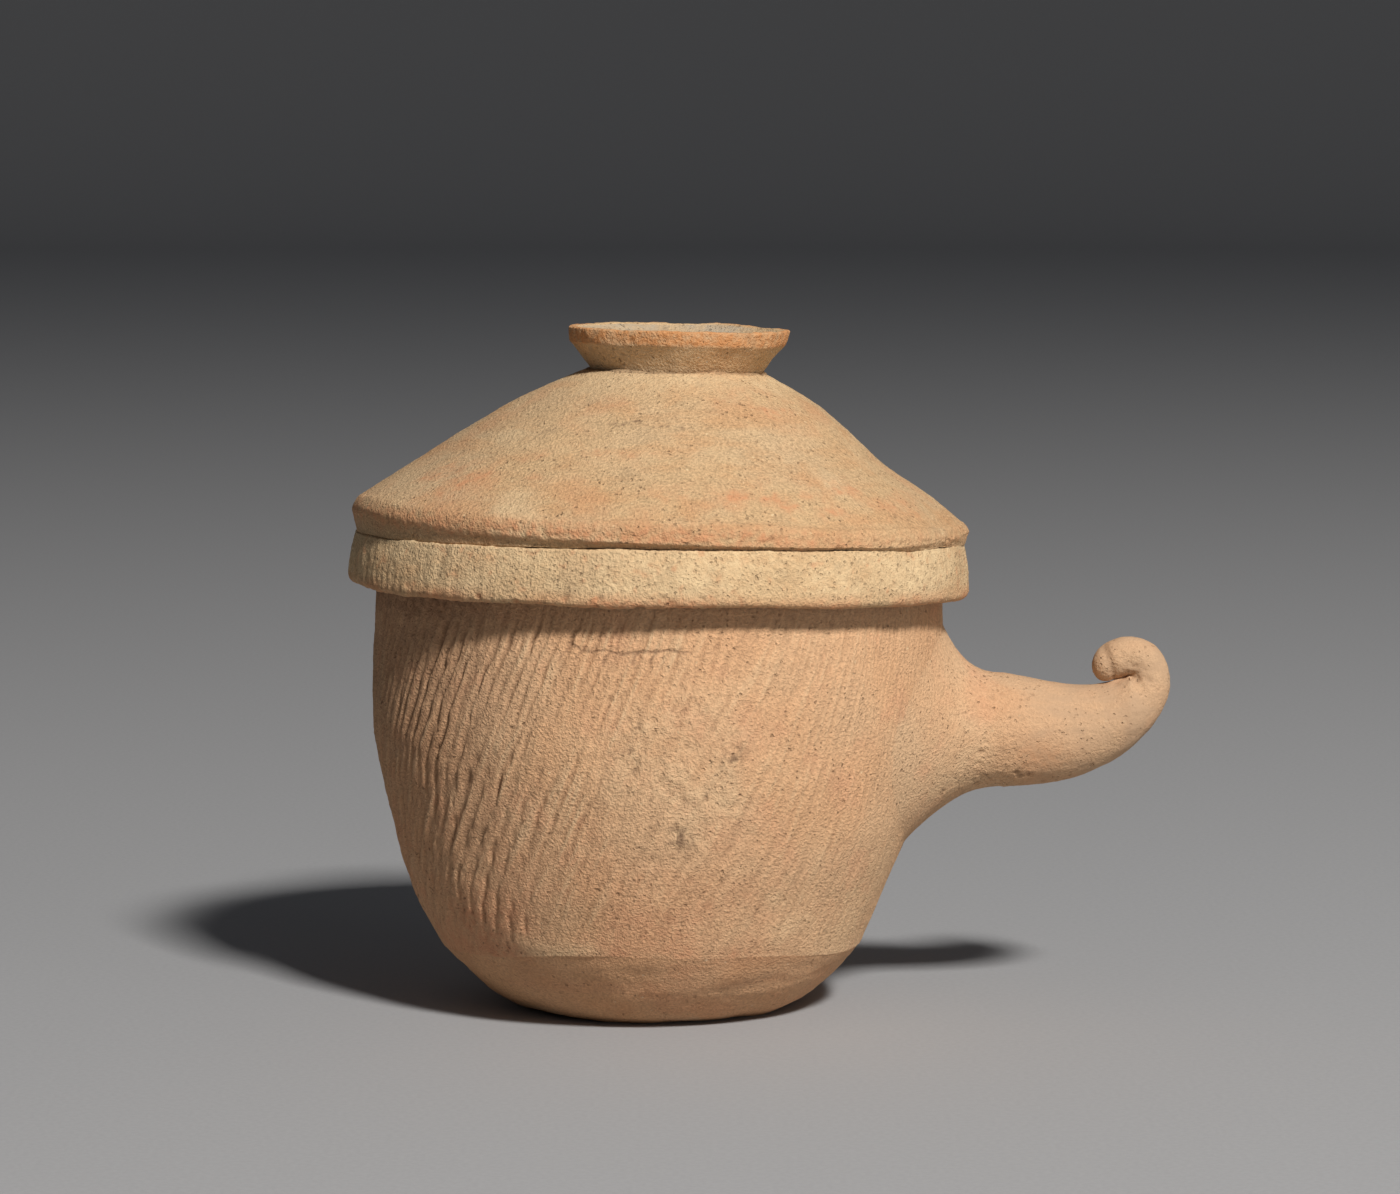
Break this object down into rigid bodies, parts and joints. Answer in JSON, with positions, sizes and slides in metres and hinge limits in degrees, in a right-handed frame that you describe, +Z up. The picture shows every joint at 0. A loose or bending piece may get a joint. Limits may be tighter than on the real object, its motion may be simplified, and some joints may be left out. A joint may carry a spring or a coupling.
{
  "type": "lidded storage jar",
  "caption": "Hand-built earthenware jar with a paddled round body, a curled horn handle and a lift-off domed lid with an overhanging skirt and a cup-shaped knob.",
  "frame": {"origin": "centre of the flat resting face under the jar", "axes": "+Z up, +X from the jar's axis along the handle, +Y away from the side that the picture shows"},
  "size_m": [0.1762, 0.1329, 0.1468],
  "materials": {
    "wall_clay": "unglazed, matt, cord-marked earthenware",
    "base_clay": "unglazed, matt, knife-trimmed earthenware",
    "horn_clay": "unglazed, matt, hand-smoothed earthenware",
    "lid_clay": "unglazed, matt, sandy earthenware",
    "knob_clay": "unglazed, matt earthenware with a worn orange rim"
  },
  "bodies": {
    "jar": {"base_slab": "base_clay", "jar_wall": "wall_clay", "mouth_ring": "wall_clay", "handle": "horn_clay", "handle_collar": "horn_clay", "handle_inner_pad": "wall_clay"},
    "lid": {"lid_dome": "lid_clay", "lid_skirt": "lid_clay", "knob": "knob_clay", "knob_luting": "lid_clay"}
  },
  "joints": [
    {"name": "lid_lift", "type": "slide", "parent": "jar", "child": "lid", "axis": [0.0227, 0.0262, 0.9994], "range_m": [0, 0.12]}
  ]
}
